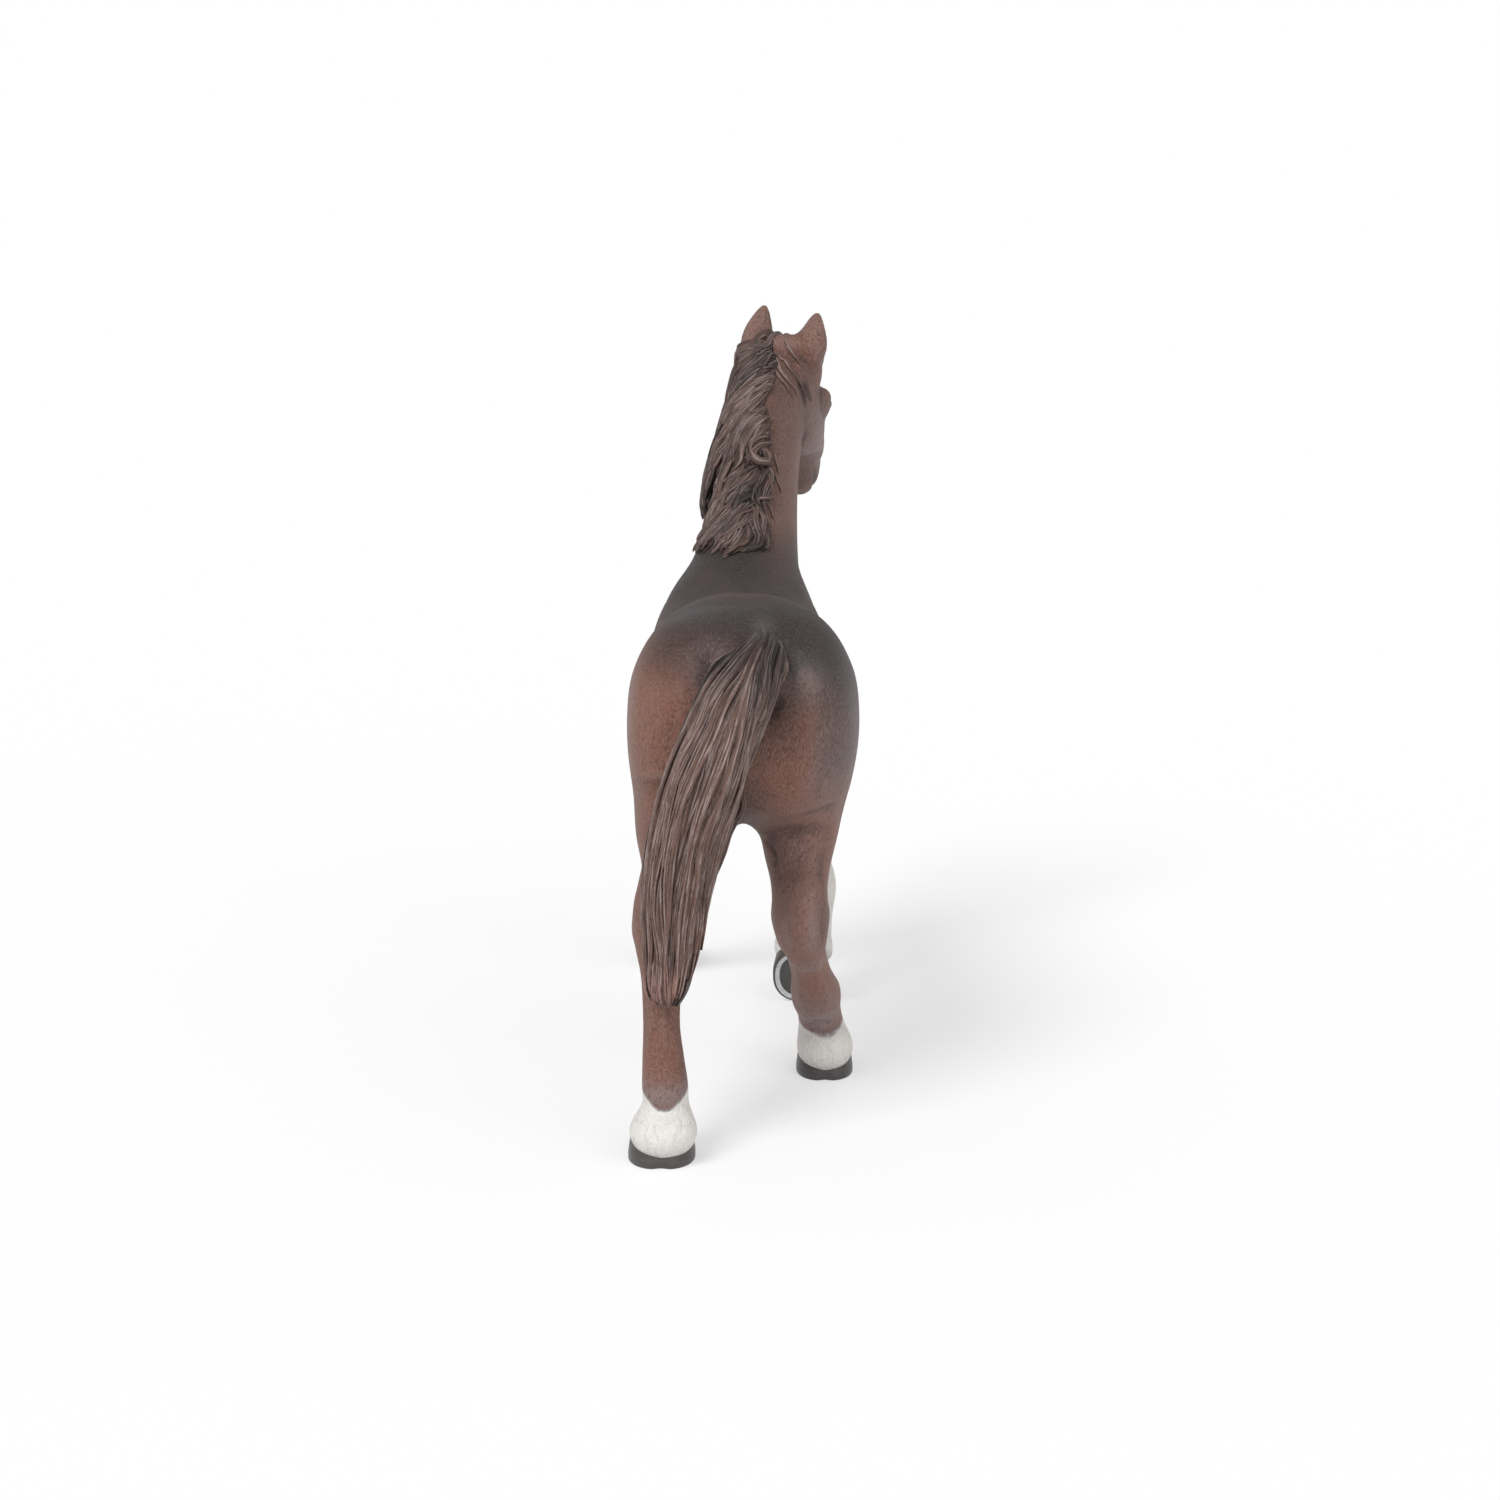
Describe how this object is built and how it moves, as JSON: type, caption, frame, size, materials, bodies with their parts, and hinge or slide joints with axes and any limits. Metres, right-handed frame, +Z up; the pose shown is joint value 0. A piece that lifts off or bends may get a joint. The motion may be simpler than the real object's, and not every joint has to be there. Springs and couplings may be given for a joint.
{
  "type": "toy horse figure",
  "caption": "Solid vinyl toy horse in a walking pose, head turned to its right, tail and mane swung to the left, three hoofs flat on the ground and the right fore hoof lifted",
  "frame": {"origin": "on the ground, under the middle of the figure's bounding box", "axes": "+Y the way the horse faces, +X the horse's own right, +Z up"},
  "size_m": [0.0388, 0.138, 0.1226],
  "materials": {
    "coat": "satin painted soft vinyl, reddish brown with dark grey-brown shading along the back, white socks and black hoofs",
    "hair": "matt painted soft vinyl, dark brown with pale dry-brushed strands"
  },
  "bodies": {
    "root": {"trunk": "coat", "neck": "coat", "head": "coat", "left_foreleg": "coat", "right_foreleg": "coat", "left_hindleg": "coat", "right_hindleg": "coat", "mane": "hair", "tail": "hair"}
  },
  "joints": []
}
